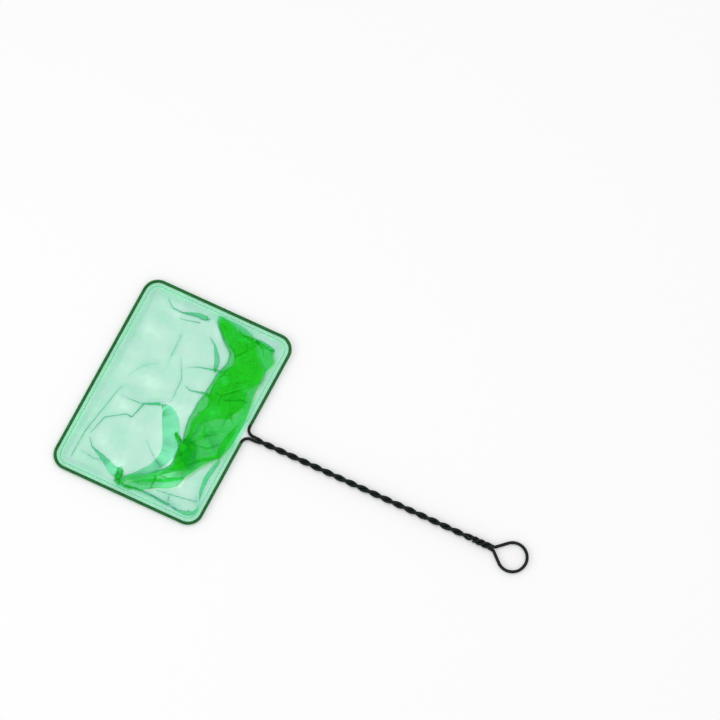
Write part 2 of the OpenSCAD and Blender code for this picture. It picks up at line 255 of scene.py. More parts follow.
def arc(start, heading, radius, turn):
    """Points and headings of a flat arc. A positive turn is to the left."""
    steps = max(2, ceil(abs(turn) / ARC_STEP))
    side = copysign(1, turn)
    centre = start + side * radius * left_of(flat_dir(heading))
    headings = heading + turn * np.linspace(0, 1, steps + 1)
    points = [centre - side * radius * left_of(flat_dir(h)) for h in headings]
    return points, list(headings)


class FlatPath:
    """A flat route that is drawn from straights and arcs."""

    def __init__(self, start, heading):
        self.points = [np.asarray(start, float)]
        self.headings = [heading]

    def straight(self, length):
        self.points.append(self.points[-1] + length * flat_dir(self.headings[-1]))
        self.headings.append(self.headings[-1])
        return self

    def bend(self, radius, turn):
        points, headings = arc(self.points[-1], self.headings[-1], radius, turn)
        self.points += points[1:]
        self.headings += headings[1:]
        return self

    def at_height(self, z):
        tangents = np.array([[*flat_dir(h), 0.0] for h in self.headings])
        return lifted(self.points, z), tangents


def wrapped(angle):
    return (angle + pi) % (2 * pi) - pi


def rounded_route(corners, bends):
    """A flat route along straight stretches between corners, with an arc at each of them."""
    corners = [np.asarray(c, float) for c in corners]
    legs = [b - a for a, b in zip(corners, corners[1:])]
    headings = [atan2(leg[1], leg[0]) for leg in legs]
    turns = [wrapped(b - a) for a, b in zip(headings, headings[1:])]
    cuts = [0.0] + [r * tan(abs(t) / 2) for r, t in zip(bends, turns)] + [0.0]
    route = FlatPath(corners[0], headings[0])
    for i, leg in enumerate(legs):
        route.straight(np.linalg.norm(leg) - cuts[i] - cuts[i + 1])
        if i < len(turns):
            route.bend(bends[i], turns[i])
    return route


LEAN_RUN = PAIR_R * tan(HOOP_LEAN)
HOOP_CORNERS = [
    (TWIST_START, PAIR_R), (LEAN_RUN, PAIR_R), NEAR_RIGHT, FAR_RIGHT, FAR_LEFT, NEAR_LEFT,
    (-LEAN_RUN, -PAIR_R), (TWIST_START, -PAIR_R),
]
HOOP_BENDS = [ROOT_BEND, *[CORNER_BEND] * 4, ROOT_BEND]
hoop_route = rounded_route(HOOP_CORNERS, HOOP_BENDS)


def ramp_area(x, start, end):
    """Area so far under a rate that rises from 0 at start to 1 at end and stays there."""
    rising = (np.clip(x, start, end) - start) ** 2 / (end - start) / 2
    return rising + np.maximum(x - end, 0)


NECK_RATE = TWIST_PITCH / NECK_PITCH


def twist_area(x):
    return (
        ramp_area(x, 0, TWIST_RAMP)
        + (NECK_RATE - 1) * ramp_area(x, NECK_FROM, TAIL_START)
        - NECK_RATE * ramp_area(x, TWIST_LENGTH - TWIST_RAMP, TWIST_LENGTH)
    )


WHOLE_AREA = float(twist_area(TWIST_LENGTH))
# Whole turns, and a twelfth more, which brings the ends level with the ring's legs
TWIST_TURNS = round(WHOLE_AREA / TWIST_PITCH) + 1 / 12


def strand(which, start, end):
    """Points and tangents of one twisted strand: 'right', 'left' or 'tail'. The pair touch
    between the handle's root and its neck, where they part from half a turn to a third of
    one, and let the tail in."""
    x = np.linspace(start, end, ceil((end - start) / STRAND_STEP) + 1)

    def place(x):
        parting = pi - pi / 3 * smooth_step(x, NECK_FROM, TAIL_START)
        angle = -2 * pi * TWIST_TURNS * twist_area(np.clip(x, 0, TWIST_LENGTH)) / WHOLE_AREA
        if which == "left":
            angle += parting
        if which == "tail":
            angle -= 2 * pi / 3
        closed = smooth_step(x, 0, TWIST_RAMP) * smooth_step(NECK_FROM - x, 0, TWIST_RAMP)
        half_gap = PAIR_R + (TOUCHING_R - PAIR_R) * closed
        radius = half_gap / np.sin(parting / 2)
        return np.column_stack(
            [TWIST_START + x, radius * np.cos(angle), AXIS_Z + radius * np.sin(angle)]
        )

    tiny = WIRE_R / 100
    tangents = unit(place(x + tiny) - place(x - tiny))
    tangents[0] = tangents[-1] = (1.0, 0.0, 0.0)
    return place(x), tangents


def backwards(part):
    points, tangents = part
    return points[::-1], -tangents[::-1]


ring_route = (
    FlatPath((NECK_END, -PAIR_R), 0.0)
    .bend(RING_FOOT_BEND, -RING_SPREAD)
    .straight(LEG_RUN)
    .bend(RING_RADIUS, pi + 2 * RING_SPREAD)
    .straight(LEG_RUN)
    .bend(RING_FOOT_BEND, -RING_SPREAD)
)

wire_parts = [
    strand("tail", TAIL_START, TWIST_LENGTH),
    ring_route.at_height(RING_Z),
    backwards(strand("right", 0.0, TWIST_LENGTH)),
    hoop_route.at_height(AXIS_Z),
    strand("left", 0.0, TWIST_LENGTH + CUT_END_REACH),
]
SAME_PLACE = WIRE_R / 1000


def joined(parts):
    """One path from parts that meet end to end."""
    points, tangents = (np.concatenate([p[n] for p in parts]) for n in (0, 1))
    apart = np.linalg.norm(np.diff(points, axis=0), axis=1) > SAME_PLACE
    keep = np.concatenate([[True], apart])
    return points[keep], tangents[keep]


wire_path, wire_tangents = joined(wire_parts)

WIRE_SIDES = 20
wire_coating = hollow_tube("wire_coating", wire_path, wire_tangents, WIRE_R, BORE_R, WIRE_SIDES)
wire_steel = mesh_object("wire_steel", *rod(wire_path, wire_tangents, CORE_R, WIRE_SIDES))

# The hem: the bag's edge goes round the wire and comes back over itself. A profile's first
# coordinate runs into the hoop and its second up.

HEM_SLEEVE_R = WIRE_R + CLOTH_GAP
HEM_GAP_EDGE = 2.0 * MM
HEM_GAP_HALF = 0.3 * MM
HEM_GAP_RAMP = 3 * MM
HEM_STEP = 4 * MM
HEM_GAP_STEP = 1.5 * MM
HEM_OPENING = radians(30)
SLEEVE_POINTS = 17
FLANGE_SHARES = (1.0, 0.8, 0.62, 0.45)
# How dense the knit looks: less over the wire, where it is stretched
SLEEVE_DENSITY = 0.3
FLANGE_DENSITY = 0.58
# The lengths of the hem's ripples and how far each goes
HEM_RIPPLES = (23 * MM, 37 * MM, 11 * MM, 61 * MM)
HEM_RIPPLE = 0.1 * MM
HEM_CELL = ((0, 0), (1, 0), (1, 1), (0, 1))


def hoop_stations(start, end, step):
    """Lengths, points and headings along the hoop's route, with its bends kept."""
    points, tangents = hoop_route.at_height(AXIS_Z)
    run = along(points)
    fill = np.arange(start, end, step)
    keep = run[(run > start) & (run < end)]
    at = np.unique(np.round(np.concatenate([fill, keep, [end]]), 7))
    place = between(at, run, points)
    heading = np.interp(at, run, np.unwrap(np.arctan2(tangents[:, 1], tangents[:, 0])))
    return at, place, heading


hoop_run = along(hoop_route.at_height(AXIS_Z)[0])
ROOT_ARC = ROOT_BEND * (pi / 2 + HOOP_LEAN)
HEM_FROM = ROOT_STRAIGHT + ROOT_ARC + HEM_START
HEM_TO = hoop_run[-1] - ROOT_STRAIGHT - ROOT_BEND * (pi / 2 - HOOP_LEAN) - HEM_START


def hem_profile():
    """The hem's section, from its sewn upper edge round the wire to its lower edge."""
    half_gap = CLOTH_THICKNESS / 2
    opening = asin(half_gap / HEM_SLEEVE_R) + HEM_OPENING
    upper = [(HEM_WIDTH * share, half_gap) for share in FLANGE_SHARES]
    sleeve = [
        (HEM_SLEEVE_R * cos(a), HEM_SLEEVE_R * sin(a))
        for a in np.linspace(opening, 2 * pi - opening, SLEEVE_POINTS)
    ]
    lower = [(u, -z) for u, z in reversed(upper)]
    return np.array(upper + sleeve + lower)


def hem_mesh():
    """The hem all round the mouth. Where the handle's roots leave, it is a plain folded edge."""
    profile = hem_profile()
    at, place, heading = hoop_stations(HEM_FROM, HEM_TO, HEM_STEP)
    gap_run = np.linalg.norm(place[0] - place[-1])
    shares = np.linspace(0, 1, ceil(gap_run / HEM_GAP_STEP) + 1)[1:-1]
    place = np.concatenate([place, place[-1] + np.outer(shares, place[0] - place[-1])])
    heading = np.append(heading, np.full(len(shares), heading[-1]))
    parted = np.append(np.zeros(len(at)), np.minimum(shares, 1 - shares) * gap_run)
    at = np.append(at, at[-1] + shares * gap_run)
    whole = at[-1] - at[0] + gap_run / (len(shares) + 1)
    girth = along(profile)
    rng = np.random.default_rng(seed=3)
    waves = [(round(whole / length), rng.uniform(0, 2 * pi)) for length in HEM_RIPPLES]
    points, density = [], []
    for s, p, h, gap in zip(at, place, heading, parted):
        inward = np.array([*left_of(flat_dir(h)), 0.0])
        ripple = sum(sin(2 * pi * n * s / whole + phase) for n, phase in waves)
        flat = smooth_step(gap, 0, HEM_GAP_RAMP)
        for u, z in profile:
            pull = max(0.0, u - HEM_SLEEVE_R) / (HEM_WIDTH - HEM_SLEEVE_R)
            u += flat * (max(u, HEM_GAP_EDGE) - u)
            z += flat * (np.clip(z, -HEM_GAP_HALF, HEM_GAP_HALF) - z)
            width = u + HEM_RIPPLE * ripple * pull
            points.append(p + width * inward + (0, 0, z + HEM_RIPPLE * ripple * pull))
            density.append(FLANGE_DENSITY if pull > 0 else SLEEVE_DENSITY)
    rows, turns = len(profile), len(at)
    numbers = rows * (np.arange(turns + 1)[:, None] % turns) + np.arange(rows)
    faces = cells(numbers, HEM_CELL).tolist()
    uv = cell_uv(np.append(at, at[0] + whole)[:, None], girth, HEM_CELL)
    return mesh_object("bag_hem", points, faces, uv, {"cloth_density": density})


bag_hem = hem_mesh()

# The hem's stitches. Each is a short length of thread that rises out of the cloth, lies on it
# and goes back in.

STITCH_SIDES = 8
STITCH_RINGS = 9
STITCH_WANDER = 0.08 * MM
# The middle of a stitch stands this many of its radii over the cloth, and its ends as far
# under it.
STITCH_TOP = 1.1


def stitch_mesh():
    at, place, heading = hoop_stations(HEM_FROM, HEM_TO, 1 * MM)
    points, faces, uv = [], [], []
    rng = np.random.default_rng(seed=5)
    inset = HEM_WIDTH - STITCH_INSET
    middle = HEM_FROM + STITCH_PITCH / 2
    while middle < HEM_TO - STITCH_PITCH / 2:
        run = middle + np.linspace(-0.5, 0.5, STITCH_RINGS) * STITCH_LENGTH
        centre = between(run, at, place)
        turn = np.interp(run, at, heading)
        inward = np.column_stack([-np.sin(turn), np.cos(turn), np.zeros(STITCH_RINGS)])
        share = np.linspace(-1, 1, STITCH_RINGS)
        rise = CLOTH_THICKNESS / 2 + THREAD_R * STITCH_TOP * (1 - 2 * share**4)
        path = centre + inward * (inset + rng.normal(0, STITCH_WANDER))
        path[:, 2] += rise
        tangents = unit(np.gradient(path, axis=0))
        stitch = rod(path, tangents, THREAD_R, STITCH_SIDES, len(points))
        for whole, part in zip((points, faces, uv), stitch):
            whole += list(part)
        middle += STITCH_PITCH
    return mesh_object("hem_stitches", points, faces, uv)


hem_stitches = stitch_mesh()


# The bag. A point of it is given by two shares of the hoop, u from the far to the near side
# and v from left to right. The cloth lies in one layer from the far side to its middle, and
# what is spare lies in a band of folds before the near side. Each row of the mesh runs from
# the far side to the near side through all of these folds, and its layers are counted from
# 0, the open cloth, to 4.

BAG_EDGE_Z = AXIS_Z - CLOTH_THICKNESS / 2
BAG_EDGE_CURVE = 1.6
BAG_FLOOR_Z = 0.3 * MM
BAG_TOP = 8 * MM
ROW_STEP = 0.9 * MM
COLUMN_STEP = 0.85 * MM
CORNER_ROWS = 9
LEAST_COLUMNS = 6
TURN_COLUMNS = 6
TURN_BULGE = 0.7 * MM
SOFTENED_ROWS = 3

# Shares v between which the band opens at its left end and closes at its right one
BAND_OPENS = (0.03, 0.09)
BAND_CLOSES = (0.91, 0.97)
SEAM_SHOWN = (0.05, 0.95)
# Layers under a point between which it stops being open cloth
OPEN_CLOTH = (0.4, 0.9)

# The least shares u of the whole band, of the fold under it and of the one on top of it, and
# between these two
LEAST_BAND, LEAST_UNDER, LEAST_TOP, LEAST_APART = 0.002, 0.001, 0.0005, 0.0002

# Fields of waves: the least and greatest length, and how many
BROAD_WAVES = ((60 * MM, 120 * MM), 6)
MIDDLING_WAVES = ((18 * MM, 40 * MM), 10)
FINE_WAVES = ((7 * MM, 15 * MM), 14)

# Heights: a layer's rise, by how much the broad and middling waves vary it, and the relief of
# all the cloth by broad, middling and fine waves
LAYER_RISE = 0.9 * MM
PUFF = (0.35, 0.2)
PUFF_LIMITS = (0.45, 1.7)
RELIEF_RISE = 0.55 * MM
RELIEF = (0.35, 0.3, 0.12)
RELIEF_BASE = 0.35
RELIEF_MOST = 3

# Past a turn, the layers above it lie two layers lower. By layer, and by share u
ABOVE_SEAM = (1.2, 1.8)
ABOVE_TOP = (3.2, 3.8)
STEP_DOWN = 5 * MM / HOOP_DEPTH

# Sideways moves of each layer: the waves, how far they go, and the share of that which a
# point gets for each layer under it, with the least share
DRIFT = (((25 * MM, 70 * MM), 8), 1.4 * MM, 0.35, 0.0)
SHIVER = (((9 * MM, 22 * MM), 10), 0.3 * MM, 0.8, 0.2)
# How far apart the layers lie in a field of waves, so that no two move alike
LAYERS_APART = 37 * MM

# How far from the bag's edge its moves, its pleats and its layers start, how far the edge
# rises to the hem, and how far it looks dense
LOOSE_EDGE, PINNED_EDGE, FLAT_EDGE = 12 * MM, 4 * MM, 5 * MM
RISING_EDGE, DENSE_EDGE = 9 * MM, 16 * MM

# How dense the knit looks, where 1 is the band's cloth: less in the open cloth, with waves
# that are fainter there, and more near the edge, in the layer on top and where it is steep
OPEN_FADE, OPEN_WAVES, BAND_WAVES, FINE_SHADE = 0.12, 0.07, 0.17, 0.03
EDGE_SHADE, TOP_SHADE, STEEP_SHADE, STEEPEST = 0.12, 0.25, 1.1, 2.2
# Where the band is bunched: the line of it by shares u and v, its half width and how much denser
# the cloth is there. The material turns this density into painted shade.
BUNCHED_WITH_PAINTED_SHADE = ([(0.67, 0.375), (0.73, 0.345), (0.775, 0.29), (0.785, 0.225)], 6 * MM, 1.2)
# The band's taper at its left end looks thinner up to these shares v, and by how much
TAPER_END = (0.17, 0.26)
TAPER_FADE = 0.62

# Small ridges of each layer: their count, and the least and greatest length, width and height
FOLDED_WRINKLES = (24, (20 * MM, 60 * MM), (2.2 * MM, 5.0 * MM), (0.8 * MM, 2.2 * MM))
WRINKLES = [
    (22, (20 * MM, 60 * MM), (1.6 * MM, 4.0 * MM), (0.3 * MM, 1.0 * MM)),
    FOLDED_WRINKLES,
    FOLDED_WRINKLES,
    FOLDED_WRINKLES,
    (24, (20 * MM, 60 * MM), (2.2 * MM, 5.0 * MM), (0.8 * MM, 2.6 * MM)),
]
RIDGE_TAPER, RIDGE_TIP, RIDGE_FADE = 1.2, 0.3, (0.2, 1.0)

# Pleats: how far one reaches for its width, how hard it pulls, where it fades at its ends,
# how it lifts the cloth and how dense it looks
PLEAT_REACH, LEAST_REACH = 1.15, 2.2 * MM
NO_LAP, LAP_REACH, LAP_POWER = 1 / pi, 1.5, 0.77
PLEAT_END, POINTED_WIDTH, BLUNT_WIDTH = 3 * MM, 0.5 * MM, 1.5 * MM
PLEAT_RISE, LIFT_UP, LIFT_DOWN = 0.7 * MM, (-0.7, 0.7), (0.75, 2.2)
PLEAT_SHADE, WIDE_FADE, WIDE_PLEAT = 0.17, 0.37, (2 * MM, 9 * MM)
# Its corners are rounded over this share of its width, and over this of a leg at most
CORNER_REACH, MOST_CORNER, CORNER_POINTS = 0.7, 0.45, 5

# Random small pleats of the band and of the open cloth: how many, half their length and their
# width in millimetres; and where they lie and how far they bend
BAND_PLEATS = (26, (8 * MM, 20 * MM), (0.8, 3.0))
OPEN_PLEATS = (5, (14 * MM, 32 * MM), (0.3, 0.7))
SMALL_PLEATS_V, OPEN_PLEATS_U, BAND_MARGIN = (0.10, 0.92), 0.12, 0.06
SMALL_PLEAT_END, SMALL_PLEAT_BEND = 0.3, 0.3

# Where the four folds turn: a share v, and the share u of the turn there or the width of the
# fold as a share. The seam is the band's far edge.
SEAM_TURN = [
    (0, 0.43), (0.05, 0.44), (0.085, 0.467), (0.132, 0.583), (0.226, 0.692), (0.354, 0.672),
    (0.459, 0.641), (0.6, 0.652), (0.7, 0.662), (0.784, 0.69), (0.83, 0.675), (0.88, 0.59),
    (0.94, 0.5), (1, 0.48),
]
UNDER_WIDTH = [
    (0, 0), (0.03, 0.02), (0.085, 0.03), (0.132, 0.03), (0.2, 0.04), (0.235, 0.075),
    (0.345, 0.085), (0.375, 0.035), (0.45, 0.05), (0.51, 0.13), (0.55, 0.21), (0.62, 0.25),
    (0.7, 0.21), (0.76, 0.24), (0.84, 0.2), (0.9, 0.23), (0.94, 0.14), (0.98, 0.02),
    (1, 0),
]
NEAR_TURN = [
    (0, 0.45), (0.03, 0.51), (0.06, 0.59), (0.097, 0.66), (0.12, 0.73), (0.145, 0.775),
    (0.2, 0.79), (0.25, 0.82), (0.31, 0.875), (0.36, 0.93), (0.42, 0.955), (0.55, 0.96),
    (0.68, 0.925), (0.8, 0.915), (0.87, 0.94), (0.92, 0.88), (0.95, 0.74), (0.98, 0.56),
    (1, 0.49),
]
TOP_INSET = [
    (0, 0), (0.06, 0.006), (0.13, 0.012), (0.2, 0.03), (0.235, 0.01), (0.34, 0.012),
    (0.39, 0.05), (0.46, 0.03), (0.56, 0.06), (0.64, 0.02), (0.78, 0.035), (0.9, 0.03),
    (1, 0),
]


def in_hoop(u, v):
    """Points of the hoop's plane by their shares."""
    u, v = np.asarray(u)[..., None], np.asarray(v)[..., None]
    return FAR_LEFT + u * (NEAR_LEFT - FAR_LEFT) + v * (FAR_RIGHT - FAR_LEFT)


def softened(values, reach):
    """A run of values, smoothed over reach neighbours on each side."""
    weights = np.hanning(2 * reach + 3)[1:-1]
    padded = np.pad(values, reach, mode="edge")
    return np.convolve(padded, weights / weights.sum(), mode="valid")


def bag_rows():
    """The shares v of the rows, and the shares u where each row starts and ends."""
    inset_v = HEM_WIDTH / HOOP_LENGTH
    inset_u = HEM_WIDTH / HOOP_DEPTH
    bend = CORNER_BEND - HEM_WIDTH
    angles = np.linspace(0, pi / 2, CORNER_ROWS)
    corner_v = bend * (1 - np.cos(angles)) / HOOP_LENGTH
    corner_u = bend * (1 - np.sin(angles)) / HOOP_DEPTH
    low, high = inset_v + corner_v[-1], 1 - inset_v - corner_v[-1]
    count = round((high - low) * HOOP_LENGTH / ROW_STEP)
    middle = np.linspace(low, high, count + 1)[1:-1]
    v = np.concatenate([inset_v + corner_v, middle, (1 - inset_v - corner_v)[::-1]])
    reach = np.concatenate([corner_u, np.zeros(len(middle)), corner_u[::-1]])
    return v, inset_u + reach, 1 - inset_u - reach


def wave_field(rng, lengths, count):
    """A smooth function of the plane, from -1 to 1 or so, from a few waves of given lengths."""
    waves = []
    for _ in range(count):
        length = rng.uniform(*lengths)
        heading = rng.uniform(0, pi)
        waves.append((2 * pi / length, heading, rng.uniform(0, 2 * pi)))

    def field(points):
        total = np.zeros(points.shape[:-1])
        for rate, heading, phase in waves:
            run = points[..., 0] * cos(heading) + points[..., 1] * sin(heading)
            total += np.sin(rate * run + phase)
        return total / sqrt(count)

    return field


# Pleats: the line of each by shares u and v, with the width in millimetres that the cloth
# laps over itself there, and the lowest and highest layers that it folds.
SINGLE = (0, 0)
PLEATS = [
    ([(0.13, 0.19, 0.3), (0.15, 0.25, 0.8), (0.167, 0.301, 1.1), (0.277, 0.358, 1.3),
      (0.317, 0.355, 1.5), (0.344, 0.435, 1.8), (0.42, 0.462, 2.6), (0.47, 0.47, 1.4)], SINGLE),
    ([(0.102, 0.06, 1), (0.1, 0.13, 0.5), (0.103, 0.214, 0.8), (0.16, 0.449, 0.6),
      (0.204, 0.513, 0)], SINGLE),
    ([(0.135, 0.196, 0.3), (0.189, 0.15, 1.2), (0.28, 0.125, 5), (0.36, 0.095, 9),
      (0.415, 0.07, 9), (0.43, 0.03, 6)], SINGLE),
    ([(0.405, 0.125, 5), (0.42, 0.09, 8), (0.43, 0.06, 8), (0.44, 0.03, 6)], SINGLE),
    ([(0.44, 0.47, 2), (0.5, 0.455, 13), (0.55, 0.41, 18), (0.61, 0.33, 17),
      (0.63, 0.26, 13), (0.6, 0.19, 9), (0.53, 0.13, 5), (0.46, 0.08, 2)], SINGLE),
    ([(0.6, 0.38, 3), (0.68, 0.33, 7), (0.72, 0.28, 9), (0.73, 0.22, 4)], SINGLE),
    ([(0.151, 0.945, 0.3), (0.21, 0.911, 0.9), (0.282, 0.909, 2), (0.374, 0.928, 5),
      (0.45, 0.93, 6)], SINGLE),
    ([(0.27, 0.876, 0.3), (0.33, 0.885, 0.7), (0.42, 0.9, 0.9)], SINGLE),
    ([(0.36, 0.62, 0), (0.35, 0.7, 0.5), (0.34, 0.82, 0.4)], SINGLE),
    ([(0.44, 0.66, 0), (0.52, 0.7, 0.8), (0.62, 0.72, 2.2), (0.7, 0.73, 4)], SINGLE),
    ([(0.5, 0.6, 0), (0.56, 0.585, 1), (0.64, 0.6, 3), (0.74, 0.6, 5)], SINGLE),
    ([(0.5, 0.86, 0.5), (0.56, 0.83, 2), (0.62, 0.77, 6), (0.64, 0.71, 3)], SINGLE),
    ([(0.44, 0.045, 4), (0.6, 0.055, 3), (0.78, 0.05, 3), (0.87, 0.05, 1)], SINGLE),
    ([(0.78, 0.05, 0.3), (0.86, 0.045, 5), (0.935, 0.055, 8), (0.96, 0.1, 5),
      (0.965, 0.17, 0.3)], SINGLE),
    ([(0.95, 0.11, 1), (0.925, 0.17, 3.5), (0.915, 0.235, 5), (0.925, 0.3, 5),
      (0.94, 0.36, 2)], SINGLE),
    ([(0.667, 0.088, 0.4), (0.789, 0.1, 0.9), (0.892, 0.112, 0.8), (0.95, 0.118, 0.3)], SINGLE),
    ([(0.8, 0.045, 0.3), (0.765, 0.075, 0.7), (0.76, 0.1, 0.4)], SINGLE),
    ([(0.5, 0.07, 2), (0.6, 0.11, 3.2), (0.7, 0.15, 4), (0.8, 0.2, 3)], (1, 2)),
    ([(0.7, 0.2, 0.5), (0.745, 0.25, 6), (0.72, 0.33, 5), (0.7, 0.37, 0)], (2, 3)),
    ([(0.76, 0.24, 0), (0.82, 0.3, 3), (0.9, 0.34, 3), (0.94, 0.4, 1)], (3, 4)),
    ([(0.66, 0.46, 1), (0.7, 0.4, 4.5), (0.69, 0.34, 5)], (2, 2)),
    ([(0.93, 0.3, 1), (0.91, 0.38, 5), (0.915, 0.45, 6), (0.93, 0.53, 1)], (3, 3)),
    ([(0.8, 0.33, 2), (0.83, 0.42, 7), (0.86, 0.52, 8), (0.84, 0.6, 2)], (1, 1)),
    ([(0.66, 0.5, 2), (0.727, 0.517, 5), (0.8, 0.54, 0.6)], (2, 2)),
    ([(0.7, 0.62, 0.8), (0.74, 0.628, 3.4), (0.802, 0.668, 3), (0.88, 0.72, 0.5)], (3, 4)),
    ([(0.76, 0.605, 0.8), (0.82, 0.625, 2.6), (0.87, 0.645, 1.8), (0.92, 0.64, 0.4)], (3, 4)),
    ([(0.68, 0.7, 1), (0.73, 0.74, 3.5), (0.8, 0.79, 7), (0.86, 0.83, 3)], (2, 3)),
    ([(0.7, 0.8, 1), (0.735, 0.86, 7), (0.7, 0.93, 5)], (2, 3)),
    ([(0.62, 0.86, 1), (0.72, 0.84, 3), (0.86, 0.81, 3), (0.92, 0.76, 0.6)], (1, 1)),
    ([(0.52, 0.93, 3), (0.66, 0.92, 5), (0.82, 0.93, 6), (0.92, 0.92, 4)], SINGLE),
]


def nearest_on(plan, line):
    """For each point: how far along a line its nearest place is, how far off the point lies,
    more than 0 on the left, and the direction to the left there."""
    legs = np.diff(line, axis=0)
    lengths = np.linalg.norm(legs, axis=1)
    starts = along(line)
    best = np.full(plan.shape[:-1], np.inf)
    offset = np.zeros(plan.shape[:-1])
    where = np.zeros(plan.shape[:-1])
    normal = np.zeros(plan.shape)
    for a, leg, length, start in zip(line, legs, lengths, starts):
        share = np.clip(((plan - a) @ leg) / length**2, 0, 1)
        gap = plan - (a + share[..., None] * leg)
        distance = np.linalg.norm(gap, axis=-1)
        side = left_of(leg / length)
        closer = distance < best
        best = np.where(closer, distance, best)
        offset = np.where(closer, np.sign(gap @ side) * distance, offset)
        where = np.where(closer, start + share * length, where)
        normal = np.where(closer[..., None], side, normal)
    return where, offset, normal


def rounded_line(corners, widths):
    """A pleat's line and widths, with its corners rounded as far as the pleat is wide."""
    line, wide = [corners[0]], [widths[0]]
    for n in range(1, len(corners) - 1):
        ends = []
        for other in (n - 1, n + 1):
            leg = corners[other] - corners[n]
            length = np.linalg.norm(leg)
            cut = min(CORNER_REACH * widths[n] / length, MOST_CORNER)
            ends.append((corners[n] + cut * leg, widths[n] + cut * (widths[other] - widths[n])))
        for t in np.linspace(0, 1, CORNER_POINTS):
            shares = ((1 - t) ** 2, 2 * t * (1 - t), t**2)
            points = (ends[0][0], corners[n], ends[1][0])
            sizes = (ends[0][1], widths[n], ends[1][1])
            line.append(sum(share * point for share, point in zip(shares, points)))
            wide.append(sum(share * size for share, size in zip(shares, sizes)))
    return np.array(line + [corners[-1]]), np.array(wide + [widths[-1]])


def pleated(plan, height, places, held):
    """Laps cloth over itself along a line. held is 1 where the cloth takes the pleat and 0
    where it doesn't. The last value is how much denser the cloth is there: a narrow pleat is
    gathered, and a wide one is stretched."""
    places = np.array(places)
    corners = in_hoop(places[:, 0], places[:, 1])
    line, widths = rounded_line(corners, places[:, 2] * MM)
    where, offset, normal = nearest_on(plan, line)
    run = along(line)
    width = np.interp(where, run, widths)
    reach = np.maximum(PLEAT_REACH * width, LEAST_REACH)
    pull = NO_LAP + (width / (LAP_REACH * reach)) ** LAP_POWER
    ends = faded_ends(where, run[-1], PLEAT_END)
    blunt = np.where(width > BLUNT_WIDTH, ends, 0)
    fade = held * np.maximum(ends * smooth_step(width, 0, POINTED_WIDTH), blunt)
    q = offset / reach
    moved = np.where(np.abs(q) < 1, -np.sin(pi * q) * (1 - q * q), 0.0)
    plan = plan + (reach * pull * fade * moved)[..., None] * normal
    lift = smooth_step(q, *LIFT_UP) * (1 - smooth_step(q, *LIFT_DOWN))
    shade = PLEAT_SHADE - WIDE_FADE * smooth_step(width, *WIDE_PLEAT)
    return plan, height + PLEAT_RISE * fade * lift, shade * fade * np.exp(-q * q)


def wrinkled(rng, plan, count, lengths, widths, heights):
    """Heights of small ridges at random places, each straight and faded at its ends."""
    rise = np.zeros(plan.shape[:-1])
    low, high = plan.reshape(-1, 2).min(axis=0), plan.reshape(-1, 2).max(axis=0)
    for _ in range(count):
        middle = rng.uniform(low, high)
        direction = flat_dir(rng.uniform(0, pi))
        half = rng.uniform(*lengths) / 2
        width = rng.uniform(*widths)
        top = rng.uniform(*heights)
        gap = plan - middle
        run = np.abs(gap @ direction) / half
        off = (gap @ left_of(direction)) / (width * np.maximum(RIDGE_TAPER - run, RIDGE_TIP))
        rise += top * np.exp(-off * off) * (1 - smooth_step(run, *RIDGE_FADE))
    return rise


def random_pleats(rng):
    """Small pleats of the folded band, each in one layer, and a few of the open cloth."""
    pleats = []
    for in_band, (count, halves, widths) in ((True, BAND_PLEATS), (False, OPEN_PLEATS)):
        for _ in range(count):
            v = rng.uniform(*SMALL_PLEATS_V)
            seam_u = np.interp(v, *np.array(SEAM_TURN).T)
            near_u = np.interp(v, *np.array(NEAR_TURN).T)
            limits = (seam_u, near_u - BAND_MARGIN) if in_band else (OPEN_PLEATS_U, seam_u)
            middle = np.array([rng.uniform(*limits), v])
            half = rng.uniform(*halves) / HOOP_LENGTH
            direction = flat_dir(rng.uniform(0, pi))
            bend = rng.uniform(-SMALL_PLEAT_BEND, SMALL_PLEAT_BEND) * left_of(direction)
            width = rng.uniform(*widths)
            layer = int(rng.integers(1, len(WRINKLES))) if in_band else 0
            places = [
                (*(middle - half * direction), SMALL_PLEAT_END),
                (*(middle + half * bend), width),
                (*(middle + half * direction), SMALL_PLEAT_END),
            ]
            pleats.append((places, (layer, layer)))
    return pleats


def fold_turns(v):
    """The shares u at which each row turns: under the band, at the seam, at the near side and
    on top of the band."""

    def by_row(pairs):
        return softened(np.interp(v, *np.array(pairs).T), SOFTENED_ROWS)

    seam = by_row(SEAM_TURN)
    near = np.maximum(by_row(NEAR_TURN), seam + LEAST_BAND)
    under_width = np.maximum(by_row(UNDER_WIDTH), LEAST_UNDER)
    under = np.minimum(seam + under_width, near - LEAST_UNDER)
    top_inset = np.maximum(by_row(TOP_INSET), LEAST_TOP)
    top = np.minimum(seam + top_inset, under - LEAST_APART)
    return under, seam, near, top


def folded_rows(stops, open_share):
    """The share u and the layer of each point of the rows, with a rounded turn after each
    layer but the last, and the column in the middle of the seam's turn."""
    counts = [
        max(LEAST_COLUMNS, ceil(float(np.max(np.abs(b - a))) * HOOP_DEPTH / COLUMN_STEP))
        for a, b in zip(stops, stops[1:])
    ]
    columns, layers = [], []
    for k, (a, b, count) in enumerate(zip(stops, stops[1:], counts)):
        share = np.linspace(0, 1, count, endpoint=False)[1 if k else 0:]
        last = k == len(counts) - 1
        if last:
            share = np.append(share, 1.0)
        for s in share:
            columns.append(a + (b - a) * s)
            layers.append(float(k))
        if not last:
            sign = 1 if k % 2 == 0 else -1
            for turn in np.linspace(0, pi, TURN_COLUMNS + 2)[1:-1]:
                bulge = sign * TURN_BULGE * sin(turn) / HOOP_DEPTH
                columns.append(b + bulge * open_share)
                layers.append(k + (1 - cos(turn)) / 2)
    u = np.array(columns).T
    seam_column = counts[0] + TURN_COLUMNS + counts[1] - 1 + TURN_COLUMNS // 2
    return u, np.broadcast_to(np.array(layers), u.shape), seam_column


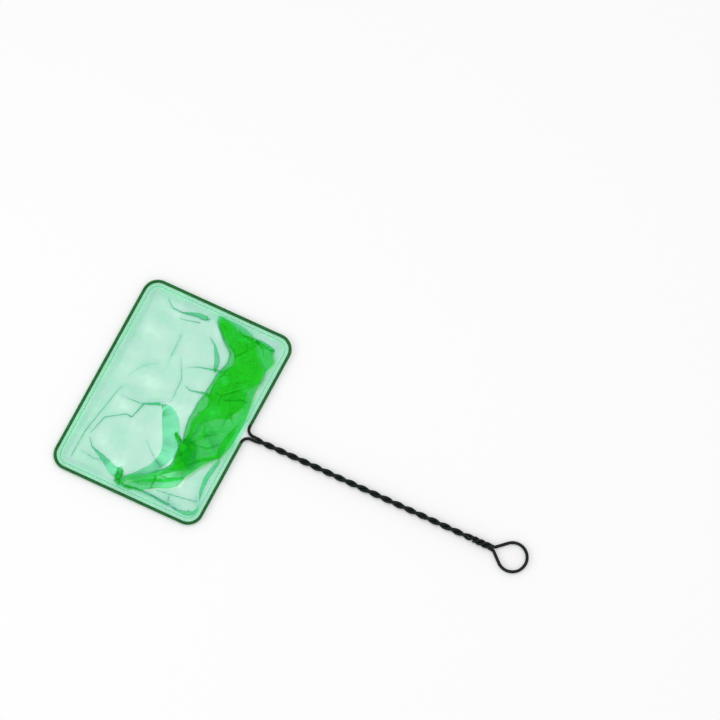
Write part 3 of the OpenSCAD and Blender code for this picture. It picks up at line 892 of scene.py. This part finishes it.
def gathered(points):
    """How much cloth there is over each point of the floor, by the slope of the mesh."""
    down, across = np.gradient(points, axis=0), np.gradient(points, axis=1)
    whole = np.linalg.norm(np.cross(down, across), axis=-1)
    flat = np.abs(down[..., 0] * across[..., 1] - down[..., 1] * across[..., 0])
    return np.clip(whole / np.maximum(flat, whole / 4), 1, STEEPEST)


def knit_density(v, plan, edge, banded, on_top, waves, ripples):
    """How dense the knit looks at each point before it is pleated."""
    density = 1 - OPEN_FADE * (1 - banded)
    density += (OPEN_WAVES + BAND_WAVES * banded) * waves
    density += FINE_SHADE * ripples
    density += EDGE_SHADE * (1 - smooth_step(edge, 0, DENSE_EDGE))
    tapered = 1 - smooth_step(v, *TAPER_END)
    density -= TAPER_FADE * banded * tapered[:, None]
    places, half_width, denser = BUNCHED_WITH_PAINTED_SHADE
    line = in_hoop(*np.array(places).T)
    where, offset, _ = nearest_on(plan, line)
    ends = faded_ends(where, along(line)[-1], half_width)
    # The bunched line's extra density, which the material shows as painted shade
    density += denser * banded * ends * np.exp(-((offset / half_width) ** 2))
    return density + TOP_SHADE * on_top


def sheet_faces(points, v):
    """The faces of a grid of points, and their uv in millimetres of cloth."""
    rows, across = points.shape[:2]
    steps = np.linalg.norm(np.diff(points, axis=1), axis=-1)
    run = np.concatenate([np.zeros((rows, 1)), np.cumsum(steps, axis=1)], axis=1)
    run -= run[:, -1:] / 2
    numbers = np.arange(rows * across).reshape(rows, across)
    return cells(numbers).tolist(), cell_uv(run, v[:, None] * HOOP_LENGTH)


def bag_mesh():
    """The bag as one sheet, and the line that its seam follows."""
    v, u_start, u_end = bag_rows()
    turns = fold_turns(v)
    open_share = smooth_step(v, *BAND_OPENS) * (1 - smooth_step(v, *BAND_CLOSES))
    u, level, seam_column = folded_rows([u_start, *turns, u_end], open_share)
    plan = in_hoop(u, np.broadcast_to(v[:, None], u.shape))
    edge_u = np.minimum(u - u_start[:, None], u_end[:, None] - u) * HOOP_DEPTH
    edge_v = (np.minimum(v - v[0], v[-1] - v) * HOOP_LENGTH)[:, None]
    edge = np.minimum(np.abs(edge_u), edge_v)
    loose = smooth_step(edge, 0, LOOSE_EDGE)

    # How many layers lie under each point
    under, _, near, _ = (turn[:, None] for turn in turns)
    past_under = smooth_step(u, under, under + STEP_DOWN)
    past_near = smooth_step(u, near, near + STEP_DOWN)
    stack = level - past_under * smooth_step(level, *ABOVE_SEAM) * 2
    stack -= past_near * smooth_step(level, *ABOVE_TOP) * 2
    stack *= open_share[:, None]

    rng = np.random.default_rng(seed=11)
    broad, middling, fine = (
        wave_field(rng, *waves) for waves in (BROAD_WAVES, MIDDLING_WAVES, FINE_WAVES)
    )
    waves = [field(plan) for field in (broad, middling, fine)]
    puff = 1 + sum(share * wave for share, wave in zip(PUFF, waves))
    height = stack * LAYER_RISE * np.clip(puff, *PUFF_LIMITS)
    relief = RELIEF_BASE + sum(share * wave for share, wave in zip(RELIEF, waves))
    height += RELIEF_RISE * np.clip(relief, 0, RELIEF_MOST)

    # Each layer moves by itself, and the more so the more layers lie under it
    moved = plan + (level * LAYERS_APART)[..., None]
    for sizes, reach, per_layer, least in (DRIFT, SHIVER):
        fields = [wave_field(rng, *sizes) for _ in range(2)]
        shift = np.stack([field(moved) for field in fields], -1)
        share = np.clip(stack * per_layer, least, 1)
        plan += shift * (reach * loose * share)[..., None]

    for layer, sizes in enumerate(WRINKLES):
        on_layer = np.clip(1.5 - 2 * np.abs(level - layer), 0, 1) * loose
        height += on_layer * wrinkled(rng, plan, *sizes)

    banded = np.clip(stack, 0, 1)
    on_top = past_under * (1 - past_near) * open_share[:, None]
    density = knit_density(v, plan, edge, banded, on_top, middling(moved), fine(moved))
    pinned = smooth_step(edge, 0, PINNED_EDGE)
    for places, (lowest, highest) in PLEATS + random_pleats(rng):
        held = smooth_step(level, lowest - 0.5, lowest) * (
            1 - smooth_step(level, highest, highest + 0.5)
        )
        if (lowest, highest) == SINGLE:
            held = 1 - smooth_step(stack, *OPEN_CLOTH)
        plan, height, shade = pleated(plan, height, places, held * pinned)
        density += shade

    # Up to the hem at the edge
    z = BAG_FLOOR_Z + np.clip(height, 0, BAG_TOP) * smooth_step(edge, 0, FLAT_EDGE)
    rise = 1 - smooth_step(edge, 0, RISING_EDGE)
    z += (BAG_EDGE_Z - BAG_FLOOR_Z) * rise**BAG_EDGE_CURVE
    points = np.concatenate([plan, z[..., None]], -1)
    density *= 1 + STEEP_SHADE * (gathered(points) - 1)

    faces, uv = sheet_faces(points, v)
    values = {"cloth_density": density, "cloth_banded": banded}
    piece = mesh_object("bag_mesh", points.reshape(-1, 3), faces, uv, values)
    shown = (v > SEAM_SHOWN[0]) & (v < SEAM_SHOWN[1])
    return piece, points[shown, seam_column]


bag, seam_line = bag_mesh()

# The seam: a roll of thread along the seam's turn, smoothed over coarse steps, a little
# uneven from wrap to wrap, and thinner at its ends

SEAM_SIDES = 12
SEAM_COARSE_STEP, SEAM_SOFTENED, SEAM_STEP = 2.5 * MM, 2, 1 * MM
SEAM_WRAP, SEAM_UNEVEN = 2.2 * MM, 0.08
SEAM_END, SEAM_END_SHARE = 3 * MM, 0.35


def resampled(path, step):
    run = along(path)
    return between(np.linspace(0, run[-1], ceil(run[-1] / step) + 1), run, path)


def seam_mesh():
    path = resampled(seam_line, SEAM_COARSE_STEP)
    path = np.column_stack([softened(column, SEAM_SOFTENED) for column in path.T])
    path = resampled(path, SEAM_STEP)
    tangents = unit(np.gradient(path, axis=0))
    run = along(path)
    uneven = 1 + SEAM_UNEVEN * np.sin(2 * pi * run / SEAM_WRAP)
    ends = smooth_step(np.minimum(run, run[-1] - run), 0, SEAM_END)
    radius = SEAM_R * uneven * (SEAM_END_SHARE + (1 - SEAM_END_SHARE) * ends)
    return mesh_object("bag_seam_roll", *rod(path, tangents, radius, SEAM_SIDES))


bag_seam = seam_mesh()


# Materials


class Graph:
    """A node tree, with short ways to add to it."""

    def __init__(self, tree):
        self.tree = tree

    def add(self, kind, inputs=(), **settings):
        """A node with its settings and inputs. An input is a number, a colour or an output."""
        node = self.tree.nodes.new("ShaderNode" + kind)
        for name, value in settings.items():
            setattr(node, name, value)
        for socket, value in dict(inputs).items():
            if isinstance(value, bpy.types.NodeSocket):
                self.tree.links.new(value, node.inputs[socket])
            else:
                value = (*value, 1) if isinstance(value, tuple) else value
                node.inputs[socket].default_value = value
        return node

    def attribute(self, name):
        """A value that a mesh has at each of its points."""
        return self.add("Attribute", attribute_name=name).outputs["Fac"]

    def cloth_uv(self):
        """The two lengths in millimetres of a piece's uv, along it and across."""
        uv = self.add("UVMap", uv_map="cloth").outputs["UV"]
        split = self.add("SeparateXYZ", {0: uv}).outputs
        return split["X"], split["Y"]

    def number(self, operation, *values):
        return self.add("Math", enumerate(values), operation=operation).outputs[0]

    def ranged(self, value, from_limits, to_limits):
        """A value taken from one range to another, smooth at both ends."""
        inputs = {"Value": value}
        inputs["From Min"], inputs["From Max"] = from_limits
        inputs["To Min"], inputs["To Max"] = to_limits
        node = self.add("MapRange", inputs, interpolation_type="SMOOTHSTEP")
        return node.outputs["Result"]

    def blended(self, factor, first, second):
        """A colour between two."""
        inputs = {"Factor": factor, "A": first, "B": second}
        return self.add("Mix", inputs, data_type="RGBA").outputs["Result"]

    def noise(self, scale, detail=3.0):
        place = self.add("TexCoord").outputs["Object"]
        inputs = {"Scale": scale, "Detail": detail, "Vector": place}
        return self.add("TexNoise", inputs).outputs["Fac"]

    def bump(self, height, strength, distance):
        inputs = {"Height": height, "Strength": strength, "Distance": distance}
        return self.add("Bump", inputs).outputs["Normal"]


def new_material(name):
    """A material and its empty node tree."""
    made = bpy.data.materials.new(name)
    made.use_nodes = True
    made.node_tree.nodes.clear()
    return made, Graph(made.node_tree)


def finished(made, graph, kind, inputs):
    """A material that shows one shader."""
    shader = graph.add(kind, inputs)
    graph.add("OutputMaterial", {"Surface": shader.outputs[0]})
    return made


def coating_material():
    """Black-green dipped plastic, glossy, with a faint unevenness."""
    made, graph = new_material("coating")
    broad, fine = graph.noise(scale=60.0), graph.noise(scale=900.0)
    return finished(made, graph, "BsdfPrincipled", {
        "Base Color": graph.blended(broad, (0.002, 0.006, 0.004), (0.005, 0.012, 0.008)),
        "Roughness": graph.ranged(fine, (0.3, 0.7), (0.30, 0.46)),
        "Specular IOR Level": 0.12,
        "Normal": graph.bump(fine, strength=0.15, distance=0.1 * MM),
    })


def steel_material():
    """Bare cut steel with fine scratches."""
    made, graph = new_material("cut_steel")
    grain = graph.noise(scale=2500.0, detail=6.0)
    return finished(made, graph, "BsdfPrincipled", {
        "Base Color": graph.blended(grain, (0.42, 0.42, 0.43), (0.62, 0.62, 0.64)),
        "Metallic": 1.0,
        "Roughness": graph.ranged(grain, (0.3, 0.7), (0.28, 0.5)),
        "Normal": graph.bump(grain, strength=0.2, distance=0.05 * MM),
    })


# The knit: its diamonds in millimetres, from where to where a yarn fades out in shares of a
# diamond, and how opaque it is in the yarn's middle and between the yarns
WEAVE_CELL = 1.1
YARN_EDGE = (0.06, 0.26)
YARN_DENSITY = (0.82, 0.34)
# What the yarn lets through in the open cloth and in the band, and what it scatters: to the
# front, where it is plain, where thin cloth gets painted light and where bunched cloth gets
# painted shade, whose dark colour is also the dark end of the uneven dye; and to the back
YARN_CLEAR = (0.42, 0.28, 0.63)
BAND_CLEAR = (0.42, 0.32, 0.50)
YARN_FRONT = (0.018, 0.50, 0.013)
YARN_THIN_PAINTED_LIGHT = (0.05, 0.80, 0.13)
YARN_DYE_AND_PAINTED_SHADE = (0.005, 0.33, 0.011)
YARN_BACK = (0.013, 0.12, 0.024)
# Densities between which the cloth stops being thin and its painted light fades out, and starts
# to look bunched and its painted shade starts
PAINTED_LIGHT_DENSITIES = (0.6, 0.84)
PAINTED_SHADE_DENSITIES = (1.25, 2.2)
# The least share of its colour that uneven dye leaves
LEAST_DYE = 0.6


def mesh_material():
    """Fine knitted green mesh: yarns in a diamond net, clear between them, with painted light
    where the cloth is thin and painted shade where it is bunched.
    """
    made, graph = new_material("green_mesh")
    lines = []
    for operation in ("ADD", "SUBTRACT"):
        diagonal = graph.number(operation, *graph.cloth_uv())
        cells = graph.number("MULTIPLY", diagonal, 1 / WEAVE_CELL)
        lines.append(graph.number("PINGPONG", cells, 0.5))
    net = graph.ranged(graph.number("MINIMUM", *lines), YARN_EDGE, YARN_DENSITY)
    density = graph.attribute("cloth_density")
    yarn = graph.number("MINIMUM", graph.number("MULTIPLY", net, density), 1.0)

    dye = graph.ranged(graph.noise(scale=45.0), (0, 1), (LEAST_DYE, 1.0))
    # The front colour darkens with the uneven dye and, on dense bunched cloth, with painted shade
    lit = graph.number("MULTIPLY", dye, graph.ranged(density, PAINTED_SHADE_DENSITIES, (1, 0)))
    # Thin cloth gets a brighter front colour: painted light
    plain = graph.blended(graph.ranged(density, PAINTED_LIGHT_DENSITIES, (0, 1)), YARN_THIN_PAINTED_LIGHT, YARN_FRONT)
    faded = tuple(c * LEAST_DYE for c in YARN_BACK)
    clear = graph.blended(graph.attribute("cloth_banded"), YARN_CLEAR, BAND_CLEAR)
    through = graph.add("BsdfTransparent", {"Color": clear})
    front = graph.add("BsdfDiffuse", {
        "Color": graph.blended(lit, YARN_DYE_AND_PAINTED_SHADE, plain),
        "Normal": graph.bump(yarn, strength=0.3, distance=0.15 * MM),
    })
    back = graph.add("BsdfTranslucent", {"Color": graph.blended(dye, faded, YARN_BACK)})
    body = graph.add("AddShader", {0: front.outputs[0], 1: back.outputs[0]})
    thread = graph.add("AddShader", {0: through.outputs[0], 1: body.outputs[0]})
    gap = graph.add("BsdfTransparent")
    return finished(made, graph, "MixShader", {0: yarn, 1: gap.outputs[0], 2: thread.outputs[0]})


# Turns of the thread's ply, in radians a millimetre along it and round it
PLY_ALONG = 9.0
PLY_ROUND = 2 * MM / THREAD_R


def thread_material():
    """Twisted green sewing thread, with its ply painted lighter on the crests and darker in the
    grooves.
    """
    made, graph = new_material("green_thread")
    u, v = graph.cloth_uv()
    along_it = graph.number("MULTIPLY", u, PLY_ALONG)
    round_it = graph.number("MULTIPLY", v, PLY_ROUND)
    ply = graph.number("SINE", graph.number("ADD", along_it, round_it))
    # Painted light and shade: the ply's crests are lighter in colour and its grooves darker,
    # besides the bump
    lit = graph.ranged(ply, (-1, 1), (0, 1))
    return finished(made, graph, "BsdfPrincipled", {
        "Base Color": graph.blended(lit, (0.05, 0.40, 0.20), (0.10, 0.62, 0.34)),
        "Roughness": 0.6,
        "Normal": graph.bump(ply, strength=0.4, distance=0.1 * MM),
    })


coating = coating_material()
cut_steel = steel_material()
green_mesh = mesh_material()
green_thread = thread_material()
for piece, finish in (
    (wire_coating, coating),
    (wire_steel, cut_steel),
    (bag_hem, green_mesh),
    (hem_stitches, green_thread),
    (bag, green_mesh),
    (bag_seam, green_thread),
):
    piece.data.materials.append(finish)

# The camera stands where the photograph's stood.

VIEW_AZIMUTH = radians(24.96)
VIEW_ELEVATION = radians(78)
VIEW_DISTANCE = 6.0
VIEW_WIDTH = 0.685
VIEW_CENTRE = Vector((0.28 * MM, 111.8 * MM, AXIS_Z))
SENSOR = 36.0

camera_data = bpy.data.cameras.new("camera")
camera = placed("camera", camera_data)
bpy.context.scene.camera = camera
camera_data.sensor_width = SENSOR
camera_data.lens = SENSOR * VIEW_DISTANCE / VIEW_WIDTH
back_dir = Vector((
    sin(VIEW_AZIMUTH) * cos(VIEW_ELEVATION),
    -cos(VIEW_AZIMUTH) * cos(VIEW_ELEVATION),
    sin(VIEW_ELEVATION),
))
camera.location = VIEW_CENTRE + VIEW_DISTANCE * back_dir
camera.rotation_mode = "QUATERNION"
camera.rotation_quaternion = (-back_dir).to_track_quat("-Z", "Y")

# Floor and studio light. The rays that show the background see a paler floor and a white sky,
# and the rest get the plain light.

FLOOR_HALF = 4.0
FLOOR_COLOUR = (0.95, 0.95, 0.95)
FLOOR_SHOWN = (0.99, 0.99, 0.99)
SKY_STRENGTH = 0.66
SKY_SHOWN = 1.0


def seen_plainly(graph):
    """1 for the rays that show the plain background: the camera's, and those that a glossy
    surface reflects or a clear one lets through. Light that cloth scatters isn't among them."""
    path = graph.add("LightPath").outputs
    through = graph.number("SUBTRACT", path["Is Transmission Ray"], path["Is Diffuse Ray"])
    gloss = graph.number("MAXIMUM", path["Is Glossy Ray"], through)
    return graph.number("MAXIMUM", path["Is Camera Ray"], gloss)


def floor_material():
    made, graph = new_material("studio_floor")
    colour = graph.blended(seen_plainly(graph), FLOOR_COLOUR, FLOOR_SHOWN)
    return finished(made, graph, "BsdfDiffuse", {"Color": colour})


floor_mesh = bpy.data.meshes.new("floor")
floor_corners = ((-1, -1), (1, -1), (1, 1), (-1, 1))
floor_mesh.from_pydata(
    [(x * FLOOR_HALF, y * FLOOR_HALF, 0.0) for x, y in floor_corners], [], [(0, 1, 2, 3)]
)
floor = placed("floor", floor_mesh)
floor_mesh.materials.append(floor_material())


def area_light(name, place, size, power):
    """A round lamp that looks at the part's middle."""
    data = bpy.data.lights.new(name, "AREA")
    data.shape = "DISK"
    data.size = size
    data.energy = power
    lamp = placed(name, data)
    lamp.location = place
    lamp.rotation_mode = "QUATERNION"
    lamp.rotation_quaternion = Vector(place).to_track_quat("Z", "Y")


area_light("overhead", place=(0.3, 0.2, 3.0), size=2.4, power=29.0)
area_light("side", place=(-1.5, -1.0, 1.2), size=1.0, power=5.1)

world = bpy.data.worlds.new("studio")
bpy.context.scene.world = world
world.use_nodes = True
sky = world.node_tree.nodes["Background"]
sky.inputs["Color"].default_value = (1, 1, 1, 1)
sky_graph = Graph(world.node_tree)
sky_strength = sky_graph.ranged(seen_plainly(sky_graph), (0, 1), (SKY_STRENGTH, SKY_SHOWN))
world.node_tree.links.new(sky_strength, sky.inputs["Strength"])

bpy.context.scene.view_settings.view_transform = "Standard"

WIRE_NODES = [
    "hoop_far_side", "hoop_left_side", "hoop_right_side", "hoop_root_left", "hoop_root_right",
    "handle_strand_left", "handle_strand_right", "neck_tail", "hanging_ring",
]
CORE_NODES = [
    "hoop_core", "handle_strand_left_core", "handle_strand_right_core", "neck_tail_core",
    "hanging_ring_core",
]
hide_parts(*WIRE_NODES)
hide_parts(*CORE_NODES)
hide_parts("hem_far", "hem_near_left", "hem_near_right")
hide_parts("hem_stitching")
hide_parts("bag_far_panel", "bag_near_panel")
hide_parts("bag_seam")
for piece in (wire_coating, wire_steel, bag_hem, hem_stitches, bag, bag_seam):
    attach(piece, "root")
